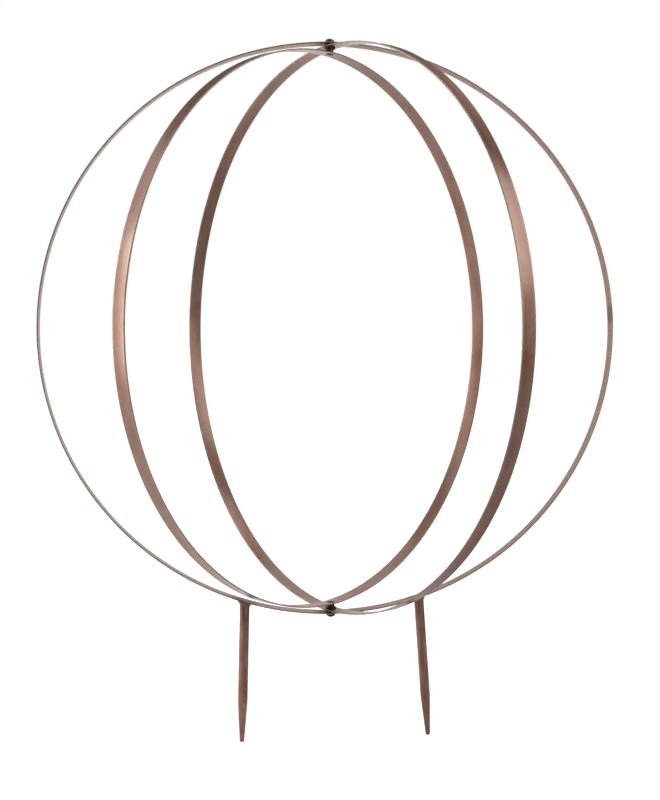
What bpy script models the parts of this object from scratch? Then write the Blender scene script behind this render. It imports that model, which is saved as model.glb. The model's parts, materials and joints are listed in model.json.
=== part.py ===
"""A folding globe topiary frame: three nested strip hoops riveted on one upright axis, over two stakes.

Metres, +Z up. The origin lies on the hoops' axis at the soil surface, with the stakes pushed fully in.
The outer hoop stands in the XZ plane, and the middle and inner hoops turn about Z inside it.
"""

import math

import bmesh
import bpy
from mathutils import Vector

MM = 0.001

# Running gap between pieces that touch
CLEARANCE = 0.3 * MM

# Globe, measured over the outer hoop
GLOBE_HEIGHT = 610.0 * MM
GLOBE_WIDTH = 618.0 * MM
OUTER_SIDE_GAP = 6.2 * MM
INNER_SIDE_GAP = 1.8 * MM
MIDDLE_HOOP_AZIMUTH = math.radians(-60.0)
INNER_HOOP_AZIMUTH = math.radians(46.0)

# Flat steel strip that the hoops are rolled from
STRIP_WIDTH = 16.0 * MM
STRIP_THICKNESS = 1.5 * MM
STRIP_EDGE_CHAMFER = 0.35 * MM

# Butt weld that closes each hoop: a V between the strip's ends, and its angle round from the equator
SEAM_FACE_GAP = 3.0 * MM
SEAM_ROOT_GAP = 1.6 * MM
SEAM_CROWN = 0.3 * MM
OUTER_SEAM_ANGLE = math.radians(3.6)
MIDDLE_SEAM_ANGLE = math.radians(175.0)
INNER_SEAM_ANGLE = math.radians(171.9)

# Rivets at the poles
RIVET_SHANK_DIAMETER = 5.0 * MM
RIVET_HEAD_DIAMETER = 10.5 * MM
RIVET_HEAD_HEIGHT = 4.3 * MM
RIVET_HEAD_RIM = 0.7 * MM
RIVET_TAIL_DIAMETER = 7.4 * MM
RIVET_TAIL_HEIGHT = 1.2 * MM
RIVET_TAIL_RIM = 0.5 * MM

# Washers and sleeves that hold the hoops apart
WASHER_CHAMFER = 0.2 * MM
OUTER_WASHER_DIAMETER = 11.0 * MM
OUTER_WASHER_THICKNESS = 1.6 * MM
INNER_WASHER_DIAMETER = 11.4 * MM
INNER_WASHER_THICKNESS = 1.2 * MM
SLEEVE_DIAMETER = 8.0 * MM
SLEEVE_LENGTH = 3.5 * MM
SLEEVE_CHAMFER = 0.3 * MM

# Ground stakes under the outer hoop
STAKE_DIAMETER = 10.5 * MM
STAKE_LENGTH = 153.5 * MM
STAKE_TAPER_LENGTH = 43.0 * MM
STAKE_TIP_DIAMETER = 4.8 * MM
LEFT_STAKE_X = -93.2 * MM
LEFT_STAKE_SPLAY = math.radians(1.5)
RIGHT_STAKE_X = 96.5 * MM
RIGHT_STAKE_SPLAY = math.radians(4.0)

# Fillet welds round the tops of the stakes: a leg along the hoop away from the axis, and one towards it
LEFT_WELD_LEGS = (4.4 * MM, 2.6 * MM)
RIGHT_WELD_LEGS = (3.6 * MM, 1.2 * MM)
WELD_EDGE_MARGIN = 0.3 * MM
WELD_HEIGHT = 5.0 * MM
WELD_TOE = 0.35 * MM
WELD_HOLLOW = 1.6
WELD_RIPPLE = 0.25 * MM
WELD_RIPPLES = 12

# Facets
HOOP_STEPS = 144
SHORTEST_HOOP_STEP = 0.3
ROUND_STEPS = 32
DOME_STEPS = 6
WELD_STEPS = 48
WELD_FACE_STEPS = 4
SEAM_ACROSS_STEPS = 14
SEAM_ALONG_STEPS = 4
SMOOTH_UP_TO = math.radians(35.0)

# Pole stack: depth of each piece below the outer hoop's outer face
MIDDLE_HOOP_DEPTH = STRIP_THICKNESS + OUTER_WASHER_THICKNESS + 2 * CLEARANCE
INNER_WASHER_DEPTH = MIDDLE_HOOP_DEPTH + STRIP_THICKNESS + CLEARANCE
SLEEVE_DEPTH = INNER_WASHER_DEPTH + INNER_WASHER_THICKNESS + CLEARANCE
INNER_HOOP_DEPTH = SLEEVE_DEPTH + SLEEVE_LENGTH + CLEARANCE
RIVET_TAIL_DEPTH = INNER_HOOP_DEPTH + STRIP_THICKNESS + CLEARANCE
HOLE_DIAMETER = RIVET_SHANK_DIAMETER + 2 * CLEARANCE

# What stakes and fillet welds have above the hoop's underside before they are trimmed, and the trim's depth
TRIM_STOCK = STAKE_DIAMETER
TRIM_DEPTH = 3 * TRIM_STOCK

# The stretch of the outer hoop that the stakes stand under
UNDERSIDE_ANGLES = (math.radians(200), math.radians(340))

# Height of the globe's centre: the bottom rivet's head just touches the soil
GLOBE_CENTRE_Z = GLOBE_HEIGHT / 2 + CLEARANCE + RIVET_HEAD_HEIGHT


class Hoop:
    """An elliptical ring of strip in its own XZ plane, set by the half axes of its outer face."""

    def __init__(self, half_width, half_height, azimuth, seam_angle):
        self.half_width = half_width
        self.half_height = half_height
        self.azimuth = azimuth
        self.seam_angle = seam_angle

    def normal(self, angle):
        """Outward unit vector of the outer face."""
        return Vector((self.half_height * math.cos(angle), 0, self.half_width * math.sin(angle))).normalized()

    def point(self, angle, outward=0.0, across=0.0):
        """A point that lies outward from the outer face, and across from the strip's centre line."""
        on_face = Vector((self.half_width * math.cos(angle), across, self.half_height * math.sin(angle)))
        return on_face + outward * self.normal(angle)

    def underside(self, x):
        """The height of the outer face below the centre, at a distance from the axis."""
        return -self.half_height * math.sqrt(1 - (x / self.half_width) ** 2)

    def slope(self, x):
        """How steeply the underside climbs away from the axis there."""
        return math.atan(abs(x) * self.half_height**2 / (-self.underside(x) * self.half_width**2))

    def angle_step(self, angle, length):
        """The change of angle that moves along the outer face by a short length."""
        speed = math.hypot(self.half_width * math.sin(angle), self.half_height * math.cos(angle))
        return length / speed

    def angles(self, first, last):
        """Even steps between two angles, with extra ones that frame the holes at the poles."""
        step = 2 * math.pi / HOOP_STEPS
        shortest = SHORTEST_HOOP_STEP * step
        stations = {index * step for index in range(math.ceil(first / step), math.ceil(last / step))}
        beside_hole = self.angle_step(math.pi / 2, HOLE_DIAMETER)
        for half_turns in range(math.floor(first / math.pi), math.ceil(last / math.pi)):
            pole = (half_turns + 0.5) * math.pi
            stations |= {pole - beside_hole, pole + beside_hole}
        between = [angle for angle in sorted(stations) if first + shortest < angle < last - shortest]
        return [first] + between + [last]


OUTER_HOOP = Hoop(GLOBE_WIDTH / 2, GLOBE_HEIGHT / 2, 0.0, OUTER_SEAM_ANGLE)
MIDDLE_HOOP = Hoop(
    OUTER_HOOP.half_width - STRIP_THICKNESS - OUTER_SIDE_GAP,
    OUTER_HOOP.half_height - MIDDLE_HOOP_DEPTH,
    MIDDLE_HOOP_AZIMUTH,
    MIDDLE_SEAM_ANGLE,
)
INNER_HOOP = Hoop(
    MIDDLE_HOOP.half_width - STRIP_THICKNESS - INNER_SIDE_GAP,
    OUTER_HOOP.half_height - INNER_HOOP_DEPTH,
    INNER_HOOP_AZIMUTH,
    INNER_SEAM_ANGLE,
)


def clear_scene():
    for old in list(bpy.data.objects):
        bpy.data.objects.remove(old, do_unlink=True)


def linear(level):
    """An sRGB level from 0 to 255 as linear light."""
    share = level / 255
    return share / 12.92 if share <= 0.04045 else ((share + 0.055) / 1.055) ** 2.4


def metal(name, red, green, blue, roughness, metallic):
    material = bpy.data.materials.new(name)
    material.use_nodes = True
    shader = material.node_tree.nodes["Principled BSDF"]
    shader.inputs["Base Color"].default_value = (linear(red), linear(green), linear(blue), 1)
    shader.inputs["Roughness"].default_value = roughness
    shader.inputs["Metallic"].default_value = metallic
    material.diffuse_color = (linear(red), linear(green), linear(blue), 1)
    return material


def antique_copper(node_name):
    return metal(node_name + "_antique_copper", 166, 136, 122, 0.42, 0.85)


def stake_bronze(node_name):
    return metal(node_name + "_bronze", 128, 104, 93, 0.5, 0.8)


def burnt_weld(node_name):
    return metal(node_name + "_burnt_steel", 108, 78, 66, 0.6, 0.7)


def dark_steel(node_name):
    return metal(node_name + "_dark_steel", 66, 56, 54, 0.45, 0.8)


def add_object(name, mesh, material, parent=None, location=(0, 0, 0), rotation=(0, 0, 0)):
    """Puts a mesh in the scene, smooth on its round faces and sharp at its edges."""
    mesh.shade_smooth()
    mesh.set_sharp_from_angle(angle=SMOOTH_UP_TO)
    placed = bpy.data.objects.new(name, mesh)
    placed.location = location
    placed.rotation_euler = rotation
    placed.parent = parent
    bpy.context.scene.collection.objects.link(placed)
    if material:
        mesh.materials.append(material)
    return placed


def add_cutter(name, mesh, location=(0, 0, 0)):
    """A helper that only cuts other pieces, and is left out of renders."""
    cutter = add_object(name, mesh, None, location=location)
    cutter.hide_render = True
    cutter.display_type = "WIRE"
    return cutter


def cut_away(target, cutter):
    boolean = target.modifiers.new("cut by " + cutter.name, "BOOLEAN")
    boolean.operation = "DIFFERENCE"
    boolean.solver = "EXACT"
    boolean.object = cutter


def mesh_from_rings(name, rings, joined=False):
    """Skins equal loops of points in order. The last loop joins the first, or else both ends are capped."""
    shape = bmesh.new()
    loops = [[shape.verts.new(point) for point in ring] for ring in rings]
    pairs = list(zip(loops, loops[1:]))
    if joined:
        pairs.append((loops[-1], loops[0]))
    for near, far in pairs:
        for index in range(len(near)):
            after = (index + 1) % len(near)
            shape.faces.new((near[index], near[after], far[after], far[index]))
    if not joined:
        shape.faces.new(loops[0][::-1])
        shape.faces.new(loops[-1])
    return finish_mesh(name, shape)


def finish_mesh(name, shape):
    bmesh.ops.recalc_face_normals(shape, faces=shape.faces)
    mesh = bpy.data.meshes.new(name)
    shape.to_mesh(mesh)
    shape.free()
    return mesh


def turned_mesh(name, profile, steps=ROUND_STEPS, hollow=False):
    """Turns a profile of (radius, height) about Z. A hollow one is a closed loop, clear of the axis."""
    shape = bmesh.new()
    points = [shape.verts.new((radius, 0, height)) for radius, height in profile]
    edges = [shape.edges.new(pair) for pair in zip(points, points[1:])]
    if hollow:
        edges.append(shape.edges.new((points[-1], points[0])))
    bmesh.ops.spin(
        shape,
        geom=points + edges,
        cent=(0, 0, 0),
        axis=(0, 0, 1),
        angle=2 * math.pi,
        steps=steps,
        use_merge=True,
        use_duplicate=False,
    )
    bmesh.ops.remove_doubles(shape, verts=shape.verts, dist=0.001 * MM)
    return finish_mesh(name, shape)


def strip_section():
    """The strip's outline as (outward, across) points, with its edges eased."""
    edge = STRIP_WIDTH / 2
    ease = STRIP_EDGE_CHAMFER
    inner_face = -STRIP_THICKNESS
    half = [(0, edge - ease), (-ease, edge), (inner_face + ease, edge), (inner_face, edge - ease)]
    return half + [(outward, -across) for outward, across in reversed(half)]


def hoop_mesh(name, hoop):
    """Rolls the strip round from one side of the seam to the other, and cuts its ends to a V."""
    face_half = hoop.angle_step(hoop.seam_angle, SEAM_FACE_GAP / 2)
    angles = hoop.angles(hoop.seam_angle + face_half, hoop.seam_angle + 2 * math.pi - face_half)
    middle = [[hoop.point(angle, *corner) for corner in strip_section()] for angle in angles[1:-1]]
    return mesh_from_rings(name, [strip_end(hoop, 1)] + middle + [strip_end(hoop, -1)])


def strip_end(hoop, side):
    """The strip's outline at its end, which leans towards the seam from the outer face to the root."""
    outline = []
    for outward, across in strip_section():
        depth = -outward / STRIP_THICKNESS
        half_gap = (SEAM_FACE_GAP + (SEAM_ROOT_GAP - SEAM_FACE_GAP) * depth) / 2
        angle = hoop.seam_angle + side * hoop.angle_step(hoop.seam_angle, half_gap)
        outline.append(hoop.point(angle, outward, across))
    return outline


def seam_mesh(name):
    """A crowned bead with ripples. X runs along the strip, Y across it and Z outward."""
    half_width = STRIP_WIDTH / 2
    full = half_width - STRIP_EDGE_CHAMFER
    rings = [seam_ring(-half_width, STRIP_EDGE_CHAMFER, 0)]
    for index in range(SEAM_ACROSS_STEPS + 1):
        across = full * (2 * index / SEAM_ACROSS_STEPS - 1)
        rings.append(seam_ring(across, 0, SEAM_CROWN if index % 2 else SEAM_CROWN / 2))
    rings.append(seam_ring(half_width, STRIP_EDGE_CHAMFER, 0))
    return mesh_from_rings(name, rings)


def seam_ring(across, ease, crown):
    """One slice of the bead: a wide crown on its outer face and a narrow one at its root."""
    outline = []
    for side, gap in ((1, SEAM_FACE_GAP), (-1, SEAM_ROOT_GAP)):
        half_length = gap / 2 - CLEARANCE
        for index in range(SEAM_ALONG_STEPS + 1):
            share = side * (2 * index / SEAM_ALONG_STEPS - 1)
            rise = crown * (1 - share**2)
            outline.append((half_length * share, across, side * (STRIP_THICKNESS / 2 - ease + rise)))
    return outline


def dome(radius, base, height, steps):
    """The (radius, height) points of a dome, from its top down to its rim."""
    turns = [math.pi / 2 * index / steps for index in range(steps + 1)]
    return [(radius * math.sin(turn), base + height * math.cos(turn)) for turn in turns]


def rivet_mesh():
    """Z is 0 on the outer hoop's outer face, and points away from the globe."""
    head = RIVET_HEAD_DIAMETER / 2
    shank = RIVET_SHANK_DIAMETER / 2
    tail = RIVET_TAIL_DIAMETER / 2
    profile = dome(head, CLEARANCE + RIVET_HEAD_RIM, RIVET_HEAD_HEIGHT - RIVET_HEAD_RIM, DOME_STEPS)
    profile += [(head, CLEARANCE), (shank, CLEARANCE), (shank, -RIVET_TAIL_DEPTH)]
    profile += [(tail, -RIVET_TAIL_DEPTH)]
    swelling = dome(tail, RIVET_TAIL_RIM, RIVET_TAIL_HEIGHT - RIVET_TAIL_RIM, DOME_STEPS // 2)
    profile += [(radius, -RIVET_TAIL_DEPTH - height) for radius, height in reversed(swelling)]
    return turned_mesh("rivet", profile)


def ring_mesh(name, diameter, length, chamfer):
    """A washer or sleeve on the rivet's shank. Z is 0 on its outward face, and it lies below that."""
    bore = HOLE_DIAMETER / 2
    rim = diameter / 2
    profile = [
        (bore, 0),
        (rim - chamfer, 0),
        (rim, -chamfer),
        (rim, chamfer - length),
        (rim - chamfer, -length),
        (bore, -length),
    ]
    return turned_mesh(name, profile, hollow=True)


def stake_mesh():
    """Z is 0 where the stake's centre line meets the hoop, and its tip points down."""
    radius = STAKE_DIAMETER / 2
    tip = STAKE_TIP_DIAMETER / 2
    profile = [
        (0, TRIM_STOCK),
        (radius, TRIM_STOCK),
        (radius, STAKE_TAPER_LENGTH - STAKE_LENGTH),
        (tip, -STAKE_LENGTH),
        (0, -STAKE_LENGTH),
    ]
    return turned_mesh("stake", profile)


def weld_mesh(name, outward_side, slope, legs):
    """A concave fillet round a stake, sheared to the hoop's slope and widest away from the globe's axis."""
    outward_leg, inward_leg = legs
    bore = STAKE_DIAMETER / 2 + CLEARANCE
    beside = STRIP_WIDTH / 2 - WELD_EDGE_MARGIN - bore
    rings = []
    for index in range(WELD_STEPS):
        turn = 2 * math.pi * index / WELD_STEPS
        outward = math.cos(turn) * outward_side
        end_leg = outward_leg if outward > 0 else inward_leg
        ripple = WELD_RIPPLE * (0.5 + 0.5 * math.cos(WELD_RIPPLES * turn))
        leg = beside + (end_leg - beside) * outward**2 - ripple
        ring = []
        for radius, height in weld_slice(bore, leg):
            rise = radius * outward * math.tan(slope)
            ring.append((radius * math.cos(turn), radius * math.sin(turn), height + rise))
        rings.append(ring)
    return mesh_from_rings(name, rings, joined=True)


def weld_slice(bore, leg):
    """The fillet's (radius, height) outline, from its toe on the stake out to the hoop and past it."""
    outline = [(bore, -WELD_HEIGHT)]
    for index in range(WELD_FACE_STEPS + 1):
        share = index / WELD_FACE_STEPS
        height = -WELD_HEIGHT * (1 - share) ** WELD_HOLLOW
        outline.append((bore + WELD_TOE + (leg - WELD_TOE) * share, height))
    return outline + [(bore + leg, TRIM_STOCK), (bore, TRIM_STOCK)]


def pole_drill():
    """A rod along the axis, which drills each hoop at both poles."""
    reach = GLOBE_HEIGHT / 2 + RIVET_HEAD_HEIGHT
    radius = HOLE_DIAMETER / 2
    profile = [(0, reach), (radius, reach), (radius, -reach), (0, -reach)]
    return add_cutter("pole_drill", turned_mesh("pole_drill", profile), (0, 0, GLOBE_CENTRE_Z))


def make_hoop(name, hoop, drill):
    body = add_object(
        name,
        hoop_mesh(name, hoop),
        antique_copper(name),
        location=(0, 0, GLOBE_CENTRE_Z),
        rotation=(0, 0, hoop.azimuth),
    )
    cut_away(body, drill)
    outward = hoop.normal(hoop.seam_angle)
    weld_name = name + "_seam_weld"
    add_object(
        weld_name,
        seam_mesh(weld_name),
        burnt_weld(weld_name),
        parent=body,
        location=hoop.point(hoop.seam_angle, -STRIP_THICKNESS / 2),
        rotation=(0, math.atan2(outward.x, outward.z), 0),
    )
    return body


def make_pole(side, outer_hoop, direction):
    """The rivet, washers and sleeves at one pole. The bottom pole is the top one turned over."""
    turned_over = (0, 0, 0) if direction > 0 else (math.pi, 0, 0)

    def place(name, mesh, depth):
        height = direction * (OUTER_HOOP.half_height - depth)
        add_object(name, mesh, dark_steel(name), outer_hoop, (0, 0, height), turned_over)

    place(side + "_rivet", rivet_mesh(), 0)
    washer = ring_mesh(side + "_washer", OUTER_WASHER_DIAMETER, OUTER_WASHER_THICKNESS, WASHER_CHAMFER)
    place(side + "_outer_washer", washer, STRIP_THICKNESS + CLEARANCE)
    washer = ring_mesh(side + "_washer", INNER_WASHER_DIAMETER, INNER_WASHER_THICKNESS, WASHER_CHAMFER)
    place(side + "_inner_washer", washer, INNER_WASHER_DEPTH)
    sleeve = ring_mesh(side + "_sleeve", SLEEVE_DIAMETER, SLEEVE_LENGTH, SLEEVE_CHAMFER)
    place(side + "_spacer_sleeve", sleeve, SLEEVE_DEPTH)


def under_hoop_cutter():
    """Takes off whatever reaches the outer hoop's underside, or lies above it, near the stakes."""
    section = [
        (CLEARANCE, STRIP_WIDTH),
        (-TRIM_DEPTH, STRIP_WIDTH),
        (-TRIM_DEPTH, -STRIP_WIDTH),
        (CLEARANCE, -STRIP_WIDTH),
    ]
    angles = OUTER_HOOP.angles(*UNDERSIDE_ANGLES)
    rings = [[OUTER_HOOP.point(angle, *corner) for corner in section] for angle in angles]
    mesh = mesh_from_rings("under_hoop_cutter", rings)
    return add_cutter("under_hoop_cutter", mesh, (0, 0, GLOBE_CENTRE_Z))


def make_stake(side, stake_x, splay, weld_legs, cutter, outer_hoop):
    """A stake and its fillet weld. The stake leans away from the globe's axis by its splay."""
    outward_side = math.copysign(1, stake_x)
    place = {
        "parent": outer_hoop,
        "location": (stake_x, 0, OUTER_HOOP.underside(stake_x)),
        "rotation": (0, -outward_side * splay, 0),
    }
    stake_name = side + "_stake"
    stake = add_object(stake_name, stake_mesh(), stake_bronze(stake_name), **place)
    cut_away(stake, cutter)
    weld_name = stake_name + "_weld"
    fillet = weld_mesh(weld_name, outward_side, OUTER_HOOP.slope(stake_x) - splay, weld_legs)
    weld = add_object(weld_name, fillet, burnt_weld(weld_name), **place)
    cut_away(weld, cutter)


def main():
    clear_scene()
    drill = pole_drill()
    outer_hoop = make_hoop("outer_hoop", OUTER_HOOP, drill)
    make_hoop("middle_hoop", MIDDLE_HOOP, drill)
    make_hoop("inner_hoop", INNER_HOOP, drill)
    make_pole("top", outer_hoop, 1)
    make_pole("bottom", outer_hoop, -1)
    cutter = under_hoop_cutter()
    make_stake("left", LEFT_STAKE_X, LEFT_STAKE_SPLAY, LEFT_WELD_LEGS, cutter, outer_hoop)
    make_stake("right", RIGHT_STAKE_X, RIGHT_STAKE_SPLAY, RIGHT_WELD_LEGS, cutter, outer_hoop)


main()
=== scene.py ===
"""Looks of the folding globe topiary frame: fine meshes, finishes, a white studio and the camera.

Everything is in metres, +Z up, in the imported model's own frame. The hoops' axis is the Z axis.
"""

import json
import math

import bmesh
import bpy
from mathutils import Matrix, Vector, noise


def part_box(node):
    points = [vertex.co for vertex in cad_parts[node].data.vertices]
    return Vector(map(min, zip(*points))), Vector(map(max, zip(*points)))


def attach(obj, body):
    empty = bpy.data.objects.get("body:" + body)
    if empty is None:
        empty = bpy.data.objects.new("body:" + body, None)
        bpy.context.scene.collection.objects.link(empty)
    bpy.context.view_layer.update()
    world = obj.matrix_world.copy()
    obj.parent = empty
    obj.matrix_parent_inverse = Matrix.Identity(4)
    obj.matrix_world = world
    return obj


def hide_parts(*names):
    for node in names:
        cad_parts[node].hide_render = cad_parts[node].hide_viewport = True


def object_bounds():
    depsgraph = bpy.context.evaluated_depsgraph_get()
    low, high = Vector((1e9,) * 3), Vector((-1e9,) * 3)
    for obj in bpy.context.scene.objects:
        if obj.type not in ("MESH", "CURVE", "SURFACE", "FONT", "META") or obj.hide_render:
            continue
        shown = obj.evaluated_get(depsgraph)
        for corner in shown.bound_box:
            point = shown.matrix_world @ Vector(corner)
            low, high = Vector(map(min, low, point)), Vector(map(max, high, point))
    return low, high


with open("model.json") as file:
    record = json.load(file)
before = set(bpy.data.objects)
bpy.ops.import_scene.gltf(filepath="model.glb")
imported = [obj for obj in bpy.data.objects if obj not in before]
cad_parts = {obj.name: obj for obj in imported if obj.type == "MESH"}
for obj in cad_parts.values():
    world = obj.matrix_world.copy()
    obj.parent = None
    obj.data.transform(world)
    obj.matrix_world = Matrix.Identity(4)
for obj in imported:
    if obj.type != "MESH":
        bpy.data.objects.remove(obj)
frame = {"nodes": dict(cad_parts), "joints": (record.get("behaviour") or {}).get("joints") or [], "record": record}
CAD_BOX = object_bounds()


def linear(level):
    """An sRGB level from 0 to 255 as linear light."""
    share = level / 255
    return share / 12.92 if share <= 0.04045 else ((share + 0.055) / 1.055) ** 2.4


def colour(red, green, blue):
    return (linear(red), linear(green), linear(blue), 1)


MM = 0.001
CENTRE = Vector(frame["joints"][0]["pos_m"])

# Flat strip. Its mill edges are rounded over a reach and a drop, with a row of points close to the rounding.
STRIP_WIDTH = (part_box("outer_hoop")[1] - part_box("outer_hoop")[0]).y
STRIP_THICKNESS = 1.5 * MM
STRIP_EDGE_REACH = 1.1 * MM
STRIP_EDGE_DROP = 0.42 * MM
STRIP_EDGE_ROW = 0.94
MIDDLE_HOOP_AZIMUTH = math.radians(-60.0)
INNER_HOOP_AZIMUTH = math.radians(46.0)
HOLE_DIAMETER = 5.6 * MM

# How far the rolled strip strays from a true ring, and over what length. It strays less near the poles.
STRIP_HOLLOW = 0.2 * MM
STRIP_SINK = 0.1 * MM
STRIP_WAVE = 0.2 * MM
STRIP_WAVE_LENGTH = 70.0 * MM
STRIP_TWIST = math.radians(0.7)
STRIP_TWIST_LENGTH = 160.0 * MM
POLE_REACH = 25.0 * MM

# Butt welds that close the hoops
OUTER_SEAM_ANGLE = math.radians(3.6)
MIDDLE_SEAM_ANGLE = math.radians(175.0)
INNER_SEAM_ANGLE = math.radians(171.9)
SEAM_FACE_GAP = 3.0 * MM
SEAM_ROOT_GAP = 1.6 * MM
SEAM_CROWN = 0.05 * MM
SEAM_RIPPLE = 0.02 * MM
SEAM_RIPPLE_PITCH = 1.5 * MM
SEAM_SCORCH_REACH = (5.0 * MM, 11.0 * MM)

# Rivets, washers and sleeves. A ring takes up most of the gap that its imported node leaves.
RIVET_SHANK_DIAMETER = 5.0 * MM
RIVET_HEAD_DIAMETER = 10.5 * MM
RIVET_HEAD_RIM = 0.7 * MM
RIVET_TAIL_DIAMETER = 7.4 * MM
RIVET_TAIL_RIM = 0.5 * MM
RIVET_TAIL_CROWN = 0.7 * MM
RIVET_COPPER_REACH = (1.1 * MM, 1.3 * MM)
RIVET_UNEVEN = 0.07 * MM
RING_UNEVEN = 0.03 * MM
UNEVEN_LENGTH = 2.2 * MM
RING_TAKE_UP = 0.28 * MM
SEAT_GAP = 0.02 * MM
EDGE_ROUNDING = 0.25 * MM

# Stakes
STAKE_DIAMETER = 10.5 * MM
STAKE_TIP_DIAMETER = 4.8 * MM
STAKE_TAPER_LENGTH = 43.0 * MM
STAKE_TAPER_BLEND = 5.0 * MM
STAKE_TIP_ROUNDING = 0.5 * MM
# Height above the tip over which painted shade darkens it
STAKE_TIP_SHADE_HEIGHT = 1.5 * MM
STAKE_UNEVEN = 0.05 * MM
STAKE_UNEVEN_LENGTH = 9.0 * MM
STAKE_UNEVEN_SIDES = 1.5
STAKE_SCORCH_REACH = 42.0 * MM
LEFT_STAKE_X = -93.2 * MM
RIGHT_STAKE_X = 96.5 * MM

# Fillet welds round the stakes. Of a pair of legs, the first runs away from the globe's axis.
LEFT_WELD_LEGS = (4.4 * MM, 2.6 * MM)
RIGHT_WELD_LEGS = (3.6 * MM, 1.2 * MM)
WELD_SIDE_LEG = 2.2 * MM
WELD_HEIGHT = 5.0 * MM
WELD_SIDE_HEIGHT = 3.75 * MM
WELD_HOLLOW = 1.6
WELD_OVERLAP = 0.05 * MM
WELD_LIP = 0.08 * MM
WELD_TOE_UNEVEN = 0.5 * MM
WELD_TOE_LUMPS = 2.0
WELD_RIPPLE = 0.22 * MM
WELD_RIPPLES = 17
WELD_RIPPLE_SLANT = 2.5
WELD_SCORCH_REACH = 14.0 * MM

# Colours of the strip
COPPER_DEEP = colour(132, 95, 78)
COPPER_LIGHT = colour(149, 114, 97)
COPPER_VEIL = colour(137, 113, 101)
COPPER_RUST = colour(152, 95, 71)
# Pale copper near the edges: wear, and a painted highlight along them
COPPER_WORN_AND_HIGHLIT = colour(170, 148, 142)
# The mill edge's finish, lightened as painted light on the strip's shaded side face
COPPER_MILL_EDGE_PAINTED_LIGHT = colour(165, 142, 134)
COPPER_SCORCHED = colour(104, 70, 58)

# Colours of the stakes and their welds
STAKE_DEEP = colour(137, 96, 81)
STAKE_LIGHT = colour(162, 127, 112)
STAKE_BANDS = colour(106, 82, 72)
STAKE_RUST = colour(160, 102, 85)
STAKE_SCORCHED = colour(70, 56, 48)
# Painted shade on the tip
STAKE_TIP_PAINTED_SHADE = colour(62, 50, 49)
WELD_DEEP = colour(124, 88, 74)
WELD_LIGHT = colour(146, 118, 104)
WELD_SOOT = colour(70, 54, 50)

# Colours of the rivets and rings, dark and worn; painted shade on the bottom ones, painted light on the top rings
TOP_RIVET_STEEL = (colour(70, 58, 54), colour(140, 116, 104))
TOP_RING_STEEL_PAINTED_LIGHT = (colour(96, 77, 68), colour(150, 122, 108))
BOTTOM_RIVET_STEEL_PAINTED_SHADE = (colour(48, 38, 39), colour(92, 72, 67))
BOTTOM_RING_STEEL_PAINTED_SHADE = (colour(54, 42, 41), colour(100, 78, 71))
# The tails' copper is lightened as painted light against the shade they sit in
RIVET_TAIL_COPPER_PAINTED_LIGHT = (colour(160, 134, 122), colour(178, 154, 142))

# Wear and painted light on the strip: how far in from the edge it starts and is full, and how much it covers
# The pale edge band is wear and a painted highlight
EDGE_WEAR_AND_HIGHLIGHT_REACH = (2.6 * MM, 0.8 * MM)
EDGE_WEAR_AND_HIGHLIGHT = 0.35
# The mill edge: its finish, lightened as painted light
MILL_EDGE_REACH = (0.6 * MM, 0.15 * MM)
MILL_EDGE_COVER = 0.85

# Clear lacquer over the metal, and the metal's tint at a grazing angle
LACQUER_ROUGHNESS = 0.2
COPPER_LACQUER = 0.72
BURNT_LACQUER = 0.2
GRAZING_TINT = (1.0, 0.86, 0.79, 1.0)

# The stretch in which most of a noise pattern lies, and how far the next piece's pattern is shifted
NOISE_LOW = 0.3
NOISE_HIGH = 0.7
HOOP_PATTERN_SHIFT = 3.7
STAKE_PATTERN_SHIFT = 2.3

# Where a Mix node keeps its colours, among sockets of the same names
MIX_FIRST_COLOUR = 6
MIX_SECOND_COLOUR = 7
MIX_RESULT_COLOUR = 2

# Mesh steps, rounds for sliding a point up to the hoop, and the angle from which an edge is sharp
HOOP_STEPS = 720
FACE_STEPS = 8
CORNER_STEPS = 6
ROUND_STEPS = 96
HOLE_STEPS = 48
SEAM_WIDTH_STEPS = 72
SEAM_FACE_STEPS = 12
RIVET_HEAD_STEPS = 18
RIVET_TAIL_STEPS = 10
RIVET_EDGE_STEPS = 4
RING_EDGE_STEPS = 5
STAKE_TIP_STEPS = 6
STAKE_BODY_STEPS = 150
WELD_FACE_STEPS = 14
SLIDE_ROUNDS = 4
SHARP_ANGLE = math.radians(50)

# Studio: name, azimuth, elevation, distance, width, height, radiance
SOFTBOXES = (
    ("left_softbox", -98, 9, 3.0, 0.75, 1.9, 7.0),
    ("right_softbox", 77, 27, 1.5, 0.7, 0.8, 2.7),
    ("top_softbox", 180, 84, 1.5, 1.2, 1.2, 0.95),
    ("top_left_softbox", -92, 44, 1.5, 0.9, 0.9, 1.3),
    ("top_right_softbox", 118, 66, 3.0, 1.1, 1.1, 2.0),
    ("front_fill", 42, 11, 1.9, 1.4, 1.0, 1.9),
)
ROOM_LEVEL = 0.14

# White sweep: where its wall stands and ends. Reflections see it brighter on the left and towards its top.
WALL_DISTANCE = 0.6
WALL_HALF_LENGTH = 0.8
WALL_TOP = 0.78
WALL_SHINE = (0.46, 0.34)
WALL_TOP_REACH = (0.4, 0.55)
WALL_TOP_GAIN = 1.9
FLOOR_SIZE = 60.0
FLOOR_SHINE = (0.54, 0.0)
SHINE_REACH = (-0.38, 0.22)
SHINE_FALL = Vector((1.0, -0.7, 0.0))
FLOOR_PAINT = 0.75
FLOOR_GLOW = 0.72
FLOOR_GLOW_REACH = (0.3, 0.9)

# Camera, found from the photograph's hoops
CAMERA_PLACE = Vector((-0.1152, -1.2852, 0.3104))
CAMERA_YAW = math.radians(-5.104)
CAMERA_PITCH = math.radians(-3.29)
CAMERA_ROLL = math.radians(-0.106)
CAMERA_LENS_MM = 54.02
CAMERA_SENSOR_MM = 36.0


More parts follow.
